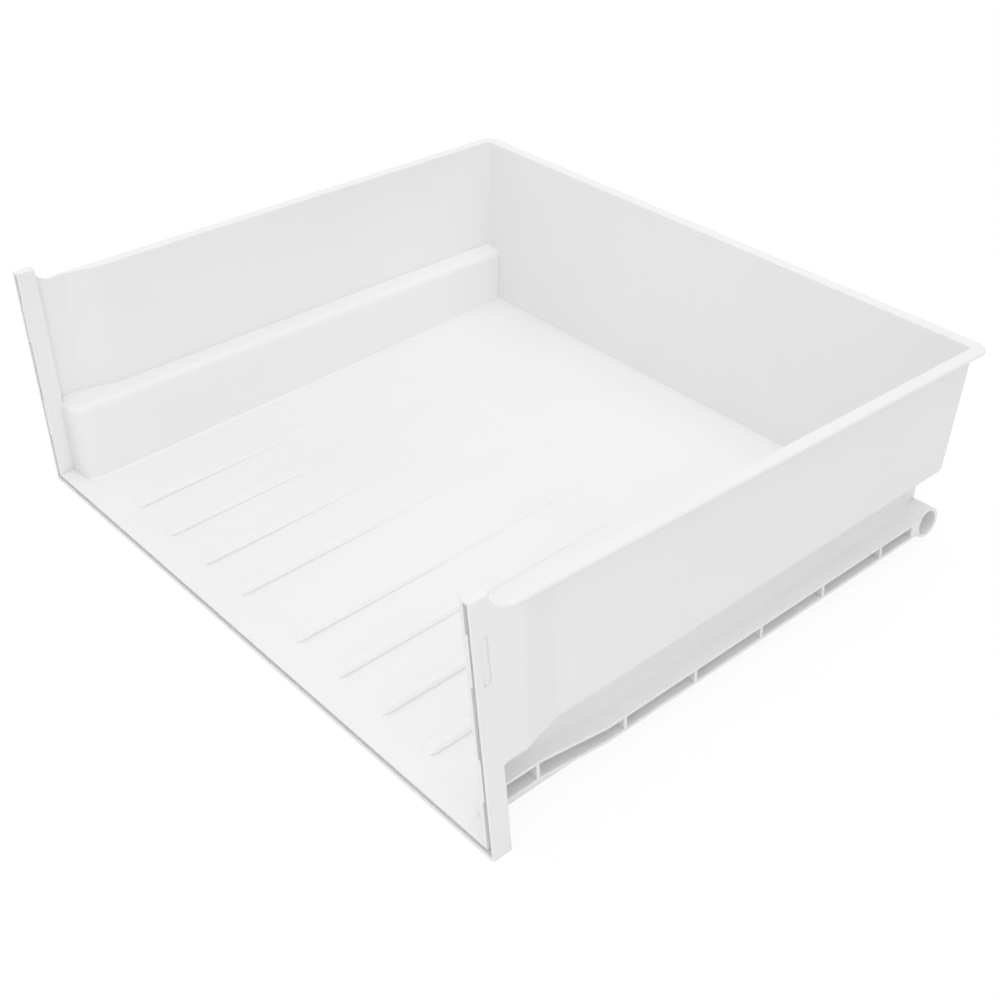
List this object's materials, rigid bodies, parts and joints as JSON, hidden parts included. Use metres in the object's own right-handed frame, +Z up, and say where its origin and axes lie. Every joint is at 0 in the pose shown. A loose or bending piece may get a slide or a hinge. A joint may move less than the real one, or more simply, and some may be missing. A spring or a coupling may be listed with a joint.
{
  "type": "refrigerator crisper drawer bin",
  "caption": "One-piece moulded crisper bin with stepped side walls, flanged rim, ribbed floor, side runners and an open front framed by posts and a grooved sill",
  "frame": {"origin": "centre of the overall size in X and Y, level with the foot of the front frame in Z", "axes": "+X to the right seen from the open front, -Y out of the open front, +Z up"},
  "size_m": [0.4678, 0.392, 0.1613],
  "materials": {
    "white_plastic": "satin moulded white polystyrene, smooth inside, slightly duller outside"
  },
  "bodies": {
    "root": {"crisper_drawer": "white_plastic"}
  },
  "joints": []
}
